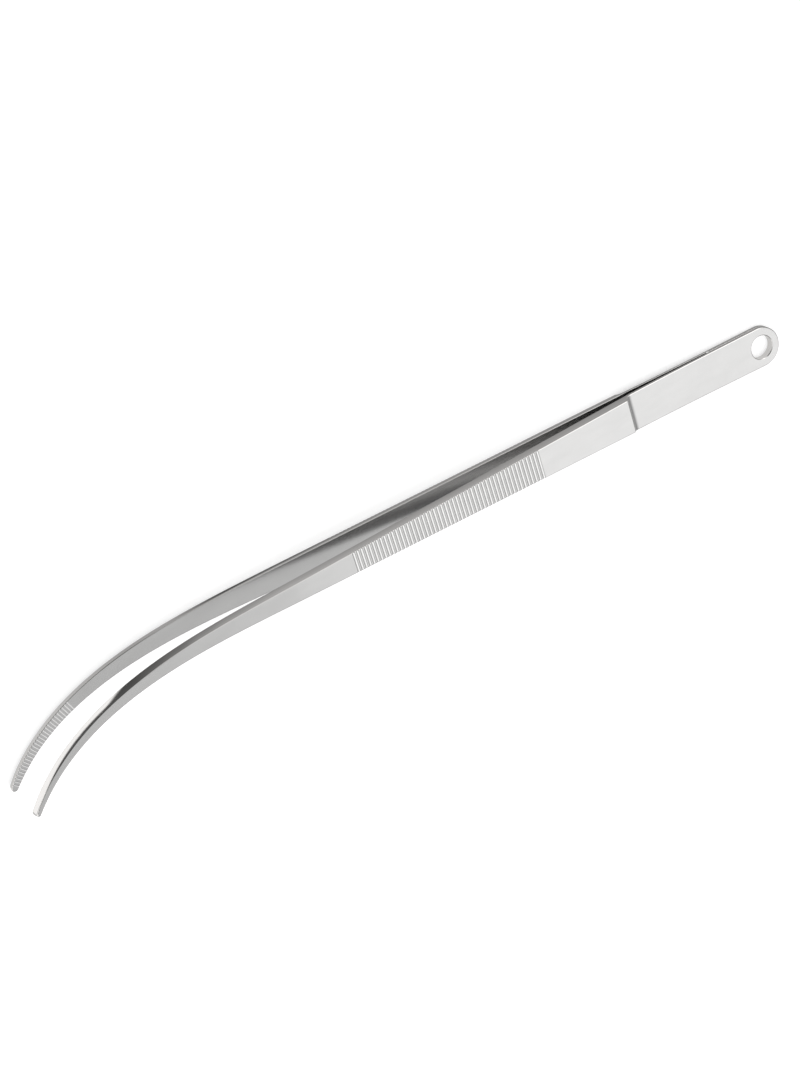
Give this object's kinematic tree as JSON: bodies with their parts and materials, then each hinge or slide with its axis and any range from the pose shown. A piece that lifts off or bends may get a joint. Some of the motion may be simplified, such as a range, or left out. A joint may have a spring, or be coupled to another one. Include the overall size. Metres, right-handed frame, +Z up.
{
  "type": "aquascaping tweezers",
  "caption": "Long steel tweezers with curved toothed jaws, ribbed finger grips and a drilled hanging end, for planting and feeding in a tank.",
  "frame": {"origin": "under the middle of the bounding box, on the surface that the tool lies on", "axes": "+X from the drilled head towards the tips, +Y towards the side that the tips curve to, +Z up from the bench; the plain outer face of the lower arm lies flat on Z = 0"},
  "size_m": [0.2992, 0.0352, 0.0266],
  "materials": {
    "satin_steel": "satin stainless steel, brushed across the arms",
    "weld_steel": "bright polished weld bead"
  },
  "bodies": {
    "head": {"head_plate_upper": "satin_steel", "head_plate_lower": "satin_steel", "weld_bead": "weld_steel"},
    "upper_arm": {"leaf_upper": "satin_steel", "blade_upper": "satin_steel"},
    "lower_arm": {"leaf_lower": "satin_steel", "blade_lower": "satin_steel"}
  },
  "joints": [
    {"name": "upper_arm_flex", "type": "hinge", "parent": "head", "child": "upper_arm", "pos_m": [-0.10533, -0.01064, 0.00463], "axis": [0, 1, 0], "range_deg": [0, 2.16], "stiffness_Nm_per_rad": 8.1, "deforming": ["leaf_upper"]},
    {"name": "lower_arm_flex", "type": "hinge", "parent": "head", "child": "lower_arm", "pos_m": [-0.10524, -0.01064, 0.00237], "axis": [0, -1, 0], "range_deg": [0, 2.16], "stiffness_Nm_per_rad": 8.1, "deforming": ["leaf_lower"]}
  ]
}
